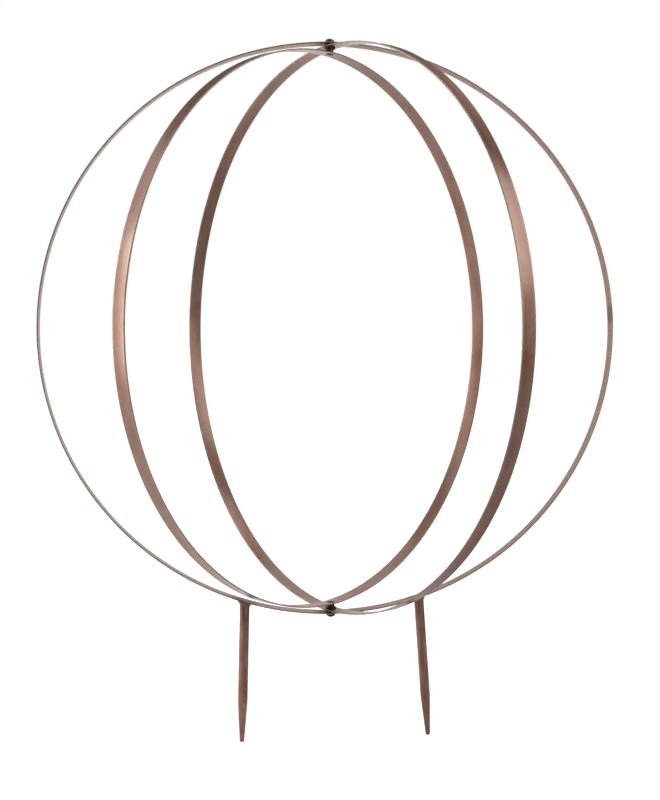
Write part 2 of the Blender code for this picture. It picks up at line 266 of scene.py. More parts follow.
class Hoop:
    """An elliptical ring of strip in its own XZ plane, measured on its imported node."""

    def __init__(self, node_name, body, azimuth, seam_angle, seam_scorch):
        self.node_name = node_name
        self.body = body
        self.azimuth = azimuth
        self.seam_angle = seam_angle
        self.seam_scorch = seam_scorch
        turn_back = Matrix.Rotation(-azimuth, 3, "Z")
        reach = [turn_back @ (vertex.co - CENTRE) for vertex in frame["nodes"][node_name].data.vertices]
        self.half_width = max(abs(point.x) for point in reach)
        self.half_height = max(abs(point.z) for point in reach)

    def normal(self, angle):
        along_x = self.half_height * math.cos(angle)
        along_z = self.half_width * math.sin(angle)
        return Vector((along_x, 0, along_z)).normalized()

    def point(self, angle, outward=0.0, across=0.0):
        on_face = Vector((self.half_width * math.cos(angle), across, self.half_height * math.sin(angle)))
        return on_face + outward * self.normal(angle)

    def angle_step(self, angle, length):
        """The change of angle that covers a length along the strip."""
        speed = math.hypot(self.half_width * math.sin(angle), self.half_height * math.cos(angle))
        return length / speed

    def underside(self, x):
        """Height of the outer face below the centre, at a distance from the axis."""
        return -self.half_height * math.sqrt(1 - (x / self.half_width) ** 2)

    @property
    def matrix(self):
        return Matrix.Translation(CENTRE) @ Matrix.Rotation(self.azimuth, 4, "Z")


OUTER_HOOP = Hoop("outer_hoop", "outer_frame", 0.0, OUTER_SEAM_ANGLE, seam_scorch=0.8)
MIDDLE_HOOP = Hoop("middle_hoop", "middle_ring", MIDDLE_HOOP_AZIMUTH, MIDDLE_SEAM_ANGLE, seam_scorch=0.25)
INNER_HOOP = Hoop("inner_hoop", "inner_ring", INNER_HOOP_AZIMUTH, INNER_SEAM_ANGLE, seam_scorch=0.15)


def loft(name, rings, grain=None, scorch=None, joined=False):
    """Skins equal loops of points, and caps them unless the last loop is joined to the first.

    Grain is each point's place along and across the metal. Scorch is 1 where a weld has burnt the finish.
    """
    count = len(rings[0])
    points = [point for ring in rings for point in ring]
    starts = [index * count for index in range(len(rings))]
    pairs = list(zip(starts, starts[1:]))
    if joined:
        pairs.append((starts[-1], starts[0]))
    faces = []
    for near, far in pairs:
        for index in range(count):
            after = (index + 1) % count
            faces.append((near + index, near + after, far + after, far + index))
    if not joined:
        faces.append(tuple(reversed(range(count))))
        faces.append(tuple(range(starts[-1], starts[-1] + count)))
    mesh = bpy.data.meshes.new(name)
    mesh.from_pydata(points, [], faces)
    if grain:
        layer = mesh.attributes.new("grain", "FLOAT_VECTOR", "POINT")
        layer.data.foreach_set("vector", [value for ring in grain for place in ring for value in place])
    if scorch:
        layer = mesh.attributes.new("scorch", "FLOAT", "POINT")
        layer.data.foreach_set("value", [value for ring in scorch for value in ring])
    point_outward(mesh)
    return mesh


def point_outward(mesh):
    shape = bmesh.new()
    shape.from_mesh(mesh)
    bmesh.ops.recalc_face_normals(shape, faces=shape.faces)
    shape.to_mesh(mesh)
    shape.free()


def add_piece(name, mesh, material, body, node_name, matrix=Matrix.Identity(4)):
    """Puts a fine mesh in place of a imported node, on the node's body."""
    mesh.shade_smooth()
    mesh.set_sharp_from_angle(angle=SHARP_ANGLE)
    mesh.materials.append(material)
    piece = bpy.data.objects.new(name, mesh)
    bpy.context.scene.collection.objects.link(piece)
    piece.matrix_world = matrix
    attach(piece, body)
    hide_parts(node_name)
    return piece


def smooth_step(share):
    share = min(max(share, 0.0), 1.0)
    return share * share * (3 - 2 * share)


def strip_section():
    """The strip's outline as (outward, across, face) points, with rounded mill edges."""
    reach = STRIP_EDGE_REACH
    drop = STRIP_EDGE_DROP
    flat = STRIP_WIDTH / 2 - reach
    row = STRIP_EDGE_ROW
    stations = [-1, -row] + [2 * index / FACE_STEPS - 1 for index in range(1, FACE_STEPS)] + [row, 1]
    turns = [math.pi / 2 * (index - 0.5) / CORNER_STEPS for index in range(1, CORNER_STEPS + 1)]
    outline = []
    for side, level in ((1, 0.0), (-1, -STRIP_THICKNESS)):
        for share in stations:
            outline.append((level, side * share * flat, side))
        for turn in turns:
            outward = level - side * drop * (1 - math.cos(turn))
            outline.append((outward, side * (flat + reach * math.sin(turn)), 0))
        for turn in turns:
            outward = -STRIP_THICKNESS - level + side * drop * (1 - math.sin(turn))
            outline.append((outward, side * (flat + reach * math.cos(turn)), 0))
    return outline


def strip_wave(place, seed):
    """A shallow dent inward, so that the strip never stands outside its true ring."""
    return -STRIP_SINK - STRIP_WAVE * (0.5 + 0.5 * noise.noise(Vector((place / STRIP_WAVE_LENGTH, seed, 0))))


def strip_hollow(across):
    """Rolling a strip into a ring leaves its outer face faintly hollow from edge to edge."""
    return STRIP_HOLLOW * ((2 * across / STRIP_WIDTH) ** 2 - 1)


def strip_twist(place, seed):
    return STRIP_TWIST * noise.noise(Vector((place / STRIP_TWIST_LENGTH, seed, 5)))


def strip_bow(place, across, seed, free=1.0):
    """How far the outer face stands off the true ring. It runs truest at the poles, where free is 0."""
    twist = strip_twist(place, seed) * free
    wave = strip_wave(place, seed) * free - abs(twist) * STRIP_WIDTH / 2
    return wave + across * math.sin(twist) + free * strip_hollow(across)


def strip_stations(hoop):
    """Angles from one side of the seam to the other, and the way along the strip to each."""
    face_half = hoop.angle_step(hoop.seam_angle, SEAM_FACE_GAP / 2)
    first = hoop.seam_angle + face_half
    last = hoop.seam_angle + 2 * math.pi - face_half
    angles = [first + (last - first) * index / HOOP_STEPS for index in range(HOOP_STEPS + 1)]
    along = [0.0]
    for near, far in zip(angles, angles[1:]):
        along.append(along[-1] + (hoop.point(far) - hoop.point(near)).length)
    return angles, along


def scorch_by_seam(hoop, from_seam):
    """The burn beside a hoop's seam weld, at a distance along the strip."""
    near, far = SEAM_SCORCH_REACH
    return hoop.seam_scorch * (1 - smooth_step((from_seam - near) / (far - near)))


def scorch_by_stakes(place):
    """Burn marks on the outer hoop where the stakes are welded on."""
    if place.z > 0:
        return 0.0
    nearest = min(abs(place.x - LEFT_STAKE_X), abs(place.x - RIGHT_STAKE_X))
    return 1 - smooth_step((nearest - STAKE_DIAMETER / 2) / WELD_SCORCH_REACH)


def v_cut(outward):
    """How much further than the outer face the strip's end reaches into the seam, at a depth."""
    depth = -outward / STRIP_THICKNESS
    return -depth * (SEAM_FACE_GAP - SEAM_ROOT_GAP) / 2


def hoop_mesh(hoop, seed):
    """Rolls the strip round from one side of the seam to the other."""
    section = strip_section()
    angles, along = strip_stations(hoop)
    rings, grain, scorch = [], [], []
    for index, (angle, place) in enumerate(zip(angles, along)):
        free = smooth_step(abs(hoop.point(angle).x) / POLE_REACH)
        end = {0: 1, HOOP_STEPS: -1}.get(index, 0)  # Only the two end loops lean into the seam's V
        burnt = scorch_by_seam(hoop, min(place, along[-1] - place))
        if hoop is OUTER_HOOP:
            burnt = max(burnt, scorch_by_stakes(hoop.point(angle)))
        ring = []
        for outward, across, _ in section:
            lean = end * v_cut(outward) * hoop.angle_step(angle, 1)
            bow = strip_bow(place, across, seed, free)
            ring.append(hoop.point(angle + lean, outward + bow, across))
        rings.append(ring)
        grain.append([(place, across, face) for _, across, face in section])
        scorch.append([burnt] * len(section))
    return loft(hoop.node_name + "_visual", rings, grain, scorch)


def drill_poles(piece):
    """Cuts the two rivet holes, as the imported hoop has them."""
    bpy.ops.mesh.primitive_cylinder_add(
        vertices=HOLE_STEPS,
        radius=HOLE_DIAMETER / 2,
        depth=2.2 * OUTER_HOOP.half_height,
        location=CENTRE,
    )
    drill = bpy.context.object
    cut = piece.modifiers.new("pole holes", "BOOLEAN")
    cut.operation = "DIFFERENCE"
    cut.solver = "EXACT"
    cut.object = drill
    bpy.context.view_layer.update()
    evaluated = piece.evaluated_get(bpy.context.evaluated_depsgraph_get())
    drilled = bpy.data.meshes.new_from_object(evaluated)
    piece.modifiers.clear()
    old = piece.data
    drilled.name = old.name
    piece.data = drilled
    bpy.data.meshes.remove(old)
    bpy.data.objects.remove(drill)


def seam_stations():
    """Places across the strip from edge to edge, and the drop of the rounded mill edge at each."""
    flat = STRIP_WIDTH / 2 - STRIP_EDGE_REACH
    edge = []
    for index in range(CORNER_STEPS + 1):
        turn = math.pi / 2 * (1 - index / CORNER_STEPS)
        edge.append((-flat - STRIP_EDGE_REACH * math.sin(turn), STRIP_EDGE_DROP * (1 - math.cos(turn))))
    middle = [(flat * (2 * index / SEAM_WIDTH_STEPS - 1), 0.0) for index in range(1, SEAM_WIDTH_STEPS)]
    return edge + middle + [(-across, drop) for across, drop in reversed(edge)]


def seam_rise(across, arch, drop):
    """Height of the bead over the strip. Its ripples bow along the strip, and stop at the mill edges."""
    if drop > 0:
        return arch * SEAM_CROWN / 2
    phase = 2 * math.pi * (across / SEAM_RIPPLE_PITCH - 0.5 * arch)
    return arch * (SEAM_CROWN + SEAM_RIPPLE * math.sin(phase))


def seam_mesh(hoop, seed):
    """A ground-down bead across the strip, flush with both of its ends."""
    length = strip_stations(hoop)[1][-1]
    rings, grain, scorch = [], [], []
    for across, drop in seam_stations():
        bow_at_start = strip_bow(0.0, across, seed)
        bow_at_end = strip_bow(length, across, seed)
        ring, places = [], []
        for side, gap, base in ((1, SEAM_FACE_GAP, 0.0), (-1, SEAM_ROOT_GAP, -STRIP_THICKNESS)):
            for index in range(SEAM_FACE_STEPS + 1):
                share = side * (2 * index / SEAM_FACE_STEPS - 1)
                to_start = (share + 1) / 2
                bow = to_start * bow_at_start + (1 - to_start) * bow_at_end
                outward = base + bow + side * (seam_rise(across, 1 - share**2, drop) - drop)
                angle = hoop.seam_angle + hoop.angle_step(hoop.seam_angle, share * gap / 2)
                ring.append(hoop.point(angle, outward, across))
                places.append((share * gap / 2, across, side))
        rings.append(ring)
        grain.append(places)
        scorch.append([hoop.seam_scorch] * len(ring))
    return loft(hoop.node_name + "_seam_weld_visual", rings, grain, scorch)


def turned(name, profile, matrix, uneven, seed):
    """Turns a closed profile of (radius, height) about Z. Points on the axis make one vertex."""
    shape = bmesh.new()
    columns = []
    for radius, height in profile:
        if radius == 0:
            columns.append([shape.verts.new((0, 0, height))])
            continue
        column = []
        for step in range(ROUND_STEPS):
            turn = 2 * math.pi * step / ROUND_STEPS
            around = Vector((math.cos(turn), math.sin(turn), 0))
            place = around * radius + Vector((0, 0, height))
            shift = uneven * noise.noise(place / UNEVEN_LENGTH + Vector((seed, 0, 0)))
            column.append(shape.verts.new(place + around * shift))
        columns.append(column)
    pairs = list(zip(columns, columns[1:]))
    if len(columns[0]) > 1:
        pairs.append((columns[-1], columns[0]))
    for near, far in pairs:
        for step in range(ROUND_STEPS):
            after = (step + 1) % ROUND_STEPS
            corners = [near[step % len(near)], near[after % len(near)]]
            corners += [far[after % len(far)], far[step % len(far)]]
            shape.faces.new(dict.fromkeys(corners))  # A point on the axis is one corner, not two
    bmesh.ops.recalc_face_normals(shape, faces=shape.faces)
    mesh = bpy.data.meshes.new(name)
    shape.to_mesh(mesh)
    shape.free()
    mesh.transform(matrix)
    return mesh


def arc(centre_radius, centre_height, radius, height, first, last, steps):
    """Points on an elliptical arc in (radius, height), between two turns in degrees."""
    points = []
    for index in range(steps + 1):
        turn = math.radians(first + (last - first) * index / steps)
        points.append((centre_radius + radius * math.cos(turn), centre_height + height * math.sin(turn)))
    return points


def pole_matrix(face, direction):
    """From a pole's own heights, which run outward from the hoop's outer face."""
    turn = Matrix.Identity(4) if direction > 0 else Matrix.Rotation(math.pi, 4, "X")
    return Matrix.Translation((0, 0, face)) @ turn


def rivet_mesh(name, face, direction, head_top, tail_end):
    """Head, shank and peened tail."""
    head = RIVET_HEAD_DIAMETER / 2
    tail = RIVET_TAIL_DIAMETER / 2
    shank = RIVET_SHANK_DIAMETER / 2
    rounding = EDGE_ROUNDING
    tail_seat = tail_end + RIVET_TAIL_RIM + RIVET_TAIL_CROWN
    profile = arc(0, RIVET_HEAD_RIM, head, head_top - RIVET_HEAD_RIM, 90, 0, RIVET_HEAD_STEPS)
    profile += arc(head - rounding, SEAT_GAP + rounding, rounding, rounding, 0, -90, RIVET_EDGE_STEPS)
    profile += [(shank, SEAT_GAP), (shank, tail_seat)]
    profile += arc(tail - rounding, tail_seat - rounding, rounding, rounding, 90, 0, RIVET_EDGE_STEPS)
    profile += arc(0, tail_end + RIVET_TAIL_CROWN, tail, RIVET_TAIL_CROWN, 0, -90, RIVET_TAIL_STEPS)
    profile[0] = (0, profile[0][1])
    profile[-1] = (0, profile[-1][1])
    return turned(name, profile, pole_matrix(face, direction), RIVET_UNEVEN, direction)


def ring_mesh(name, face, direction, outer, top, bottom):
    """A washer or sleeve with rounded rims, bored for the shank."""
    bore = RIVET_SHANK_DIAMETER / 2 + SEAT_GAP
    rounding = EDGE_ROUNDING
    profile = [(bore, top)]
    profile += arc(outer - rounding, top - rounding, rounding, rounding, 90, 0, RING_EDGE_STEPS)
    profile += arc(outer - rounding, bottom + rounding, rounding, rounding, 0, -90, RING_EDGE_STEPS)
    profile += [(bore, bottom)]
    return turned(name, profile, pole_matrix(face, direction), RING_UNEVEN, outer)


def stake_frame(tip_mount):
    """Tip, upward, forward and sideways direction of a stake, from its mount in the record."""
    mount = next(entry for entry in frame["record"]["mounts"] if entry["name"] == tip_mount)
    upward = -Vector(mount["axis"]).normalized()
    sideways = Vector((0, 1, 0))
    return Vector(mount["pos_m"]), upward, sideways.cross(upward).normalized(), sideways


def up_to_hoop(place, upward, gap):
    """Slides a point along the stake until it is a gap below the outer hoop's underside."""
    for _ in range(SLIDE_ROUNDS):
        target = CENTRE.z + OUTER_HOOP.underside(place.x) - gap
        place = place + upward * ((target - place.z) / upward.z)
    return place


def stake_radius(height):
    """Radius of the stake at a height above its tip, with a soft change into the taper."""
    tip = STAKE_TIP_DIAMETER / 2
    full = STAKE_DIAMETER / 2
    grade = (full - tip) / STAKE_TAPER_LENGTH
    past = height - STAKE_TAPER_LENGTH
    reach = STAKE_TAPER_BLEND
    if past < -reach:
        radius = tip + grade * height
    elif past > reach:
        radius = full
    else:
        radius = full - grade * (reach - past) ** 2 / (4 * reach)
    if height < STAKE_TIP_ROUNDING:
        short = STAKE_TIP_ROUNDING - height
        radius -= STAKE_TIP_ROUNDING - math.sqrt(max(STAKE_TIP_ROUNDING**2 - short**2, 0))
    return radius


def stake_heights(length):
    """Heights above the tip, close together where it is rounded. The last one is the hoop's underside."""
    turns = [math.pi / 2 * index / STAKE_TIP_STEPS for index in range(STAKE_TIP_STEPS + 1)]
    heights = [STAKE_TIP_ROUNDING * (1 - math.cos(turn)) for turn in turns]
    low = heights[-1]
    top = length - STAKE_DIAMETER / 2
    heights += [low + (top - low) * index / STAKE_BODY_STEPS for index in range(1, STAKE_BODY_STEPS + 1)]
    return heights + [length]


def stake_mesh(name, tip_mount, seed):
    """A cut bar with a ground taper. Its top follows the hoop's underside."""
    tip, upward, forward, sideways = stake_frame(tip_mount)
    length = (up_to_hoop(tip, upward, 0) - tip).length
    rings, grain, scorch = [], [], []
    for height in stake_heights(length):
        ring, places = [], []
        radius = stake_radius(height)
        for step in range(ROUND_STEPS):
            turn = 2 * math.pi * step / ROUND_STEPS
            around = forward * math.cos(turn) + sideways * math.sin(turn)
            spot = Vector((turn * STAKE_UNEVEN_SIDES, height / STAKE_UNEVEN_LENGTH, seed))
            place = tip + upward * height + around * (radius + STAKE_UNEVEN * noise.noise(spot))
            if height == length:
                place = up_to_hoop(place, upward, SEAT_GAP)
            ring.append(place)
            places.append((height, radius * turn, seed))
        rings.append(ring)
        grain.append(places)
        burnt = smooth_step((height - length + STAKE_SCORCH_REACH) / STAKE_SCORCH_REACH)
        scorch.append([burnt] * ROUND_STEPS)
    return loft(name, rings, grain, scorch)


def weld_mesh(name, tip_mount, legs, seed):
    """A concave fillet round the stake's top, rippled, with an uneven toe."""
    tip, upward, forward, sideways = stake_frame(tip_mount)
    away = math.copysign(1, tip.x)
    bore = STAKE_DIAMETER / 2 - WELD_OVERLAP
    rings = []
    for step in range(2 * ROUND_STEPS):
        turn = math.pi * step / ROUND_STEPS
        around = forward * math.cos(turn) + sideways * math.sin(turn)
        share = around.x * away
        end_leg = legs[0] if share > 0 else legs[1]
        leg = WELD_SIDE_LEG + (end_leg - WELD_SIDE_LEG) * share**2
        drop = WELD_SIDE_HEIGHT + (WELD_HEIGHT - WELD_SIDE_HEIGHT) * share**2
        spot = Vector((WELD_TOE_LUMPS * math.cos(turn), WELD_TOE_LUMPS * math.sin(turn), seed))
        drop += WELD_TOE_UNEVEN * noise.noise(spot)
        ring = []
        for index in range(WELD_FACE_STEPS + 1):
            along = index / WELD_FACE_STEPS
            phase = WELD_RIPPLES * turn + WELD_RIPPLE_SLANT * along
            ripple = WELD_RIPPLE * math.sin(math.pi * along) * math.sin(phase)
            reach = bore + WELD_LIP + leg * along + ripple
            foot = up_to_hoop(tip + around * reach, upward, 0)
            ring.append(foot - upward * drop * (1 - along) ** WELD_HOLLOW)
        ring.append(up_to_hoop(tip + around * bore, upward, 0))
        rings.append(ring)
    return loft(name, rings, joined=True)


def node(tree, kind, inputs=None, **settings):
    """Adds a node. An input is a plain value, or another node's output to link."""
    made = tree.nodes.new("ShaderNode" + kind)
    for key, value in settings.items():
        setattr(made, key, value)
    for key, value in (inputs or {}).items():
        if isinstance(value, bpy.types.NodeSocket):
            tree.links.new(value, made.inputs[key])
        else:
            made.inputs[key].default_value = value
    return made


def math_node(tree, operation, *values):
    """A product, sum or other result of one or two values."""
    return node(tree, "Math", dict(enumerate(values)), operation=operation).outputs["Value"]


def times(tree, first, second):
    return math_node(tree, "MULTIPLY", first, second)


def plus(tree, first, second):
    return math_node(tree, "ADD", first, second)


def component(tree, vector, letter):
    return node(tree, "SeparateXYZ", {"Vector": vector}).outputs[letter]


def span(tree, value, low, high, to_low=0.0, to_high=1.0):
    """Maps a value from one range to another, and holds it at the ends."""
    settings = {"Value": value, "From Min": low, "From Max": high, "To Min": to_low, "To Max": to_high}
    return node(tree, "MapRange", settings).outputs["Result"]


def spread(tree, pattern, to_low, to_high):
    """Maps a noise pattern to a range."""
    return span(tree, pattern, NOISE_LOW, NOISE_HIGH, to_low, to_high)


def cloud(tree, place, detail, roughness, scale=1.0):
    settings = {"Vector": place, "Scale": scale, "Detail": detail, "Roughness": roughness}
    return node(tree, "TexNoise", settings).outputs["Fac"]


def scaled(tree, place, along, across, layer=1.0):
    """Place times a scale for each axis, in lumps per metre, which draws a pattern out along the metal."""
    scales = (along, across, layer)
    return node(tree, "VectorMath", {0: place, 1: scales}, operation="MULTIPLY").outputs["Vector"]


def blend(tree, amount, first, second, mode="MIX"):
    settings = {"Factor": amount, MIX_FIRST_COLOUR: first, MIX_SECOND_COLOUR: second}
    return node(tree, "Mix", settings, data_type="RGBA", blend_type=mode).outputs[MIX_RESULT_COLOUR]


def streaked(tree, base, streaks, depth):
    """Darkens and lightens a colour along its streaks, by the same share both ways."""
    grey = spread(tree, streaks, 1 - depth, 1 + depth)
    shade = node(tree, "CombineColor", {0: grey, 1: grey, 2: grey}).outputs["Color"]
    return blend(tree, 1.0, base, shade, "MULTIPLY")


def metal_grain(tree, seed):
    """A point's place along and across the metal, plain and shifted by a seed, and how burnt it is there."""
    grain = node(tree, "Attribute", attribute_name="grain").outputs["Vector"]
    shifted = node(tree, "VectorMath", {0: grain, 1: (seed, seed, 0)}, operation="ADD").outputs["Vector"]
    scorch = node(tree, "Attribute", attribute_name="scorch").outputs["Fac"]
    return grain, shifted, scorch


def new_material(name):
    material = bpy.data.materials.new(name)
    material.use_nodes = True
    return material, material.node_tree, material.node_tree.nodes["Principled BSDF"]


def finish_shader(tree, shader, base, rough, height, depth, metallic, coat):
    """Links the drawn colour, roughness and bump, and sets the plain values on the shader."""
    bump = node(tree, "Bump", {"Height": height, "Distance": depth, "Strength": 1.0})
    tree.links.new(base, shader.inputs["Base Color"])
    tree.links.new(rough, shader.inputs["Roughness"])
    tree.links.new(bump.outputs["Normal"], shader.inputs["Normal"])
    shader.inputs["Metallic"].default_value = metallic
    shader.inputs["Specular Tint"].default_value = GRAZING_TINT
    shader.inputs["Coat Weight"].default_value = coat
    shader.inputs["Coat Roughness"].default_value = LACQUER_ROUGHNESS


def antique_copper(name, seed):
    """Brushed strip in a copper finish under clear lacquer, burnt at the welds, with wear and painted light on its
    edges.
    """
    material, tree, shader = new_material(name)
    grain, place, scorch = metal_grain(tree, seed)
    patina = cloud(tree, scaled(tree, place, 22, 60), 4, 0.55)
    veil = cloud(tree, scaled(tree, place, 55, 160, 3), 3, 0.6)
    rust = cloud(tree, scaled(tree, place, 90, 260, 5), 2, 0.5)
    streaks = cloud(tree, scaled(tree, place, 26, 900, 9), 3, 0.65)
    dents = cloud(tree, scaled(tree, place, 30, 380, 11), 1, 0.4)
    base = blend(tree, span(tree, patina, 0.35, 0.65), COPPER_DEEP, COPPER_LIGHT)
    base = blend(tree, span(tree, veil, 0.45, 0.72, 0, 0.5), base, COPPER_VEIL)
    base = blend(tree, span(tree, rust, 0.56, 0.74, 0, 0.5), base, COPPER_RUST)
    base = streaked(tree, base, streaks, 0.12)
    half = STRIP_WIDTH / 2
    from_middle = math_node(tree, "ABSOLUTE", component(tree, grain, "Y"))
    # The edges pale with wear and a painted highlight
    worn = span(tree, from_middle, half - EDGE_WEAR_AND_HIGHLIGHT_REACH[0], half - EDGE_WEAR_AND_HIGHLIGHT_REACH[1])
    base = blend(tree, times(tree, worn, EDGE_WEAR_AND_HIGHLIGHT), base, COPPER_WORN_AND_HIGHLIT)
    # The mill edge is lightened as painted light on its shaded side face
    edge = span(tree, from_middle, half - MILL_EDGE_REACH[0], half - MILL_EDGE_REACH[1])
    base = blend(tree, times(tree, edge, MILL_EDGE_COVER), base, COPPER_MILL_EDGE_PAINTED_LIGHT)
    burnt = times(tree, scorch, span(tree, veil, 0.3, 0.6, 0.55, 1.0))
    base = blend(tree, times(tree, burnt, 0.85), base, COPPER_SCORCHED)
    rough = plus(tree, spread(tree, streaks, 0.38, 0.5), spread(tree, veil, -0.03, 0.04))
    finish_shader(tree, shader, base, rough, dents, depth=0.01 * MM, metallic=1.0, coat=COPPER_LACQUER)
    lacquer = span(tree, burnt, 0.0, 0.8, COPPER_LACQUER, BURNT_LACQUER)
    tree.links.new(lacquer, shader.inputs["Coat Weight"])
    return material


def stake_bronze(name, seed):
    """Drawn bar in the same finish, darker, streaked lengthwise, burnt under the weld, with painted shade at its
    tip.
    """
    material, tree, shader = new_material(name)
    grain, place, scorch = metal_grain(tree, seed)
    patina = cloud(tree, scaled(tree, place, 40, 120), 4, 0.6)
    bands = cloud(tree, scaled(tree, place, 45, 420, 3), 3, 0.55)
    rust = cloud(tree, scaled(tree, place, 110, 300, 7), 3, 0.6)
    streaks = cloud(tree, scaled(tree, place, 60, 2400, 5), 3, 0.65)
    base = blend(tree, span(tree, patina, 0.35, 0.65), STAKE_DEEP, STAKE_LIGHT)
    base = blend(tree, span(tree, bands, 0.5, 0.72, 0, 0.7), base, STAKE_BANDS)
    base = blend(tree, span(tree, rust, 0.52, 0.72, 0, 0.45), base, STAKE_RUST)
    base = streaked(tree, base, streaks, 0.14)
    burnt = times(tree, scorch, span(tree, bands, 0.42, 0.6))
    base = blend(tree, times(tree, burnt, 0.75), base, STAKE_SCORCHED)
    # Painted shade darkens the end of the tip
    tip_painted_shade = span(tree, component(tree, grain, "X"), STAKE_TIP_SHADE_HEIGHT * 0.5, STAKE_TIP_SHADE_HEIGHT, 0.8, 0.0)
    base = blend(tree, tip_painted_shade, base, STAKE_TIP_PAINTED_SHADE)
    rough = spread(tree, streaks, 0.2, 0.32)
    height = plus(tree, times(tree, streaks, 0.6), times(tree, patina, 0.4))
    finish_shader(tree, shader, base, rough, height, depth=0.02 * MM, metallic=0.95, coat=0.25)
    return material


def burnt_weld(name):
    """Weld metal under the finish: reddish brown, sooty in its hollows."""
    material, tree, shader = new_material(name)
    place = node(tree, "TexCoord").outputs["Object"]
    patches = cloud(tree, place, 3, 0.6, scale=420.0)
    soot = cloud(tree, place, 4, 0.6, scale=900.0)
    pits = cloud(tree, place, 3, 0.6, scale=2600.0)
    base = blend(tree, span(tree, patches, 0.4, 0.62), WELD_DEEP, WELD_LIGHT)
    base = blend(tree, span(tree, soot, 0.5, 0.7, 0, 0.75), base, WELD_SOOT)
    rough = spread(tree, pits, 0.42, 0.62)
    height = plus(tree, times(tree, pits, 0.5), times(tree, soot, 0.5))
    finish_shader(tree, shader, base, rough, height, depth=0.06 * MM, metallic=0.8, coat=0.25)
    return material


def antiqued_steel(name, dark, worn):
    """Antiqued hardware, brown where it is worn. The rivets' tails are copper like the strip, lightened as painted
    light.
    """
    material, tree, shader = new_material(name)
    place = node(tree, "TexCoord").outputs["Object"]
    wear = cloud(tree, place, 4, 0.6, scale=500.0)
    pits = cloud(tree, place, 3, 0.6, scale=2200.0)
    base = blend(tree, span(tree, wear, 0.42, 0.68), dark, worn)
    # Tails lightened as painted light
    tail = blend(tree, span(tree, wear, 0.4, 0.6), *RIVET_TAIL_COPPER_PAINTED_LIGHT)
    from_centre = math_node(tree, "ABSOLUTE", plus(tree, component(tree, place, "Z"), -CENTRE.z))
    tail_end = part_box("top_rivet")[0].z - CENTRE.z
    copper_end, steel_start = (tail_end + reach for reach in RIVET_COPPER_REACH)
    base = blend(tree, span(tree, from_centre, copper_end, steel_start, 1.0, 0.0), base, tail)
    rough = spread(tree, pits, 0.34, 0.52)
    finish_shader(tree, shader, base, rough, pits, depth=0.03 * MM, metallic=0.85, coat=0.3)
    return material


def make_hoops():
    for seed, hoop in enumerate((OUTER_HOOP, MIDDLE_HOOP, INNER_HOOP)):
        name = hoop.node_name
        finish = antique_copper(name + "_antique_copper", HOOP_PATTERN_SHIFT * seed)
        mesh = hoop_mesh(hoop, seed)
        piece = add_piece(name + "_visual", mesh, finish, hoop.body, name, hoop.matrix)
        drill_poles(piece)
        name += "_seam_weld"
        mesh = seam_mesh(hoop, seed)
        add_piece(name + "_visual", mesh, finish, hoop.body, name, hoop.matrix)


def make_stakes():
    weld_metal = burnt_weld("stake_weld_metal")
    for seed, (side, legs) in enumerate((("left", LEFT_WELD_LEGS), ("right", RIGHT_WELD_LEGS))):
        name = side + "_stake"
        mount = name + "_tip"
        bronze = stake_bronze(name + "_bronze", STAKE_PATTERN_SHIFT * seed)
        mesh = stake_mesh(name, mount, seed)
        add_piece(name + "_visual", mesh, bronze, "outer_frame", name)
        name += "_weld"
        mesh = weld_mesh(name, mount, legs, seed)
        add_piece(name + "_visual", mesh, weld_metal, "outer_frame", name)


def make_pole(side, direction, rivet_colours, ring_colours):
    """The stack at one pole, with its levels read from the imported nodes."""
    face = CENTRE.z + direction * OUTER_HOOP.half_height
    # The bottom colours carry painted shade and the top rings painted light
    rivet_steel = antiqued_steel(side + "_rivet_steel", *rivet_colours)
    ring_steel = antiqued_steel(side + "_ring_steel", *ring_colours)

    def levels(node_name):
        heights = [direction * (corner.z - face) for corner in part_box(node_name)]
        return max(heights), min(heights)

    name = side + "_rivet"
    mesh = rivet_mesh(name, face, direction, *levels(name))
    add_piece(name + "_visual", mesh, rivet_steel, "outer_frame", name)
    for part in ("_outer_washer", "_inner_washer", "_spacer_sleeve"):
        name = side + part
        low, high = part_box(name)
        outer = (high.x - low.x) / 2
        top, bottom = levels(name)
        mesh = ring_mesh(name, face, direction, outer, top + RING_TAKE_UP, bottom - RING_TAKE_UP / 2)
        add_piece(name + "_visual", mesh, ring_steel, "outer_frame", name)


def make_poles():
    """The lower pole's rivet and rings are darker as painted shade, and the upper rings lighter as painted light.
    """
    make_pole("top", 1, TOP_RIVET_STEEL, TOP_RING_STEEL_PAINTED_LIGHT)
    make_pole("bottom", -1, BOTTOM_RIVET_STEEL_PAINTED_SHADE, BOTTOM_RING_STEEL_PAINTED_SHADE)


def white_sweep(name, camera_glow, shine):
    """White paint that also glows, so that the camera and reflections see it white.

    What reflections see darkens to the front right.
    """
    material = bpy.data.materials.new(name)
    material.use_nodes = True
    tree = material.node_tree
    tree.nodes.clear()
    path = node(tree, "LightPath").outputs
    place = node(tree, "TexCoord").outputs["Object"]
    mirrored = math_node(tree, "MAXIMUM", path["Is Glossy Ray"], path["Is Transmission Ray"])
    side = node(tree, "VectorMath", {0: place, 1: SHINE_FALL}, operation="DOT_PRODUCT").outputs["Value"]
    fade = span(tree, side, *SHINE_REACH, *shine)
    fade = times(tree, fade, span(tree, component(tree, place, "Z"), *WALL_TOP_REACH, 1.0, WALL_TOP_GAIN))
    away = node(tree, "VectorMath", {0: place}, operation="LENGTH").outputs["Value"]
    glow = span(tree, away, *FLOOR_GLOW_REACH, camera_glow, 1.0)
    strength = plus(tree, times(tree, path["Is Camera Ray"], glow), times(tree, mirrored, fade))
    paint = node(tree, "BsdfDiffuse", {"Color": (FLOOR_PAINT, FLOOR_PAINT, FLOOR_PAINT, 1)})
    light = node(tree, "Emission", {"Color": (1, 1, 1, 1), "Strength": strength})
    both = node(tree, "AddShader", {0: paint.outputs[0], 1: light.outputs[0]})
    output = node(tree, "OutputMaterial")
    tree.links.new(both.outputs[0], output.inputs["Surface"])
    return material


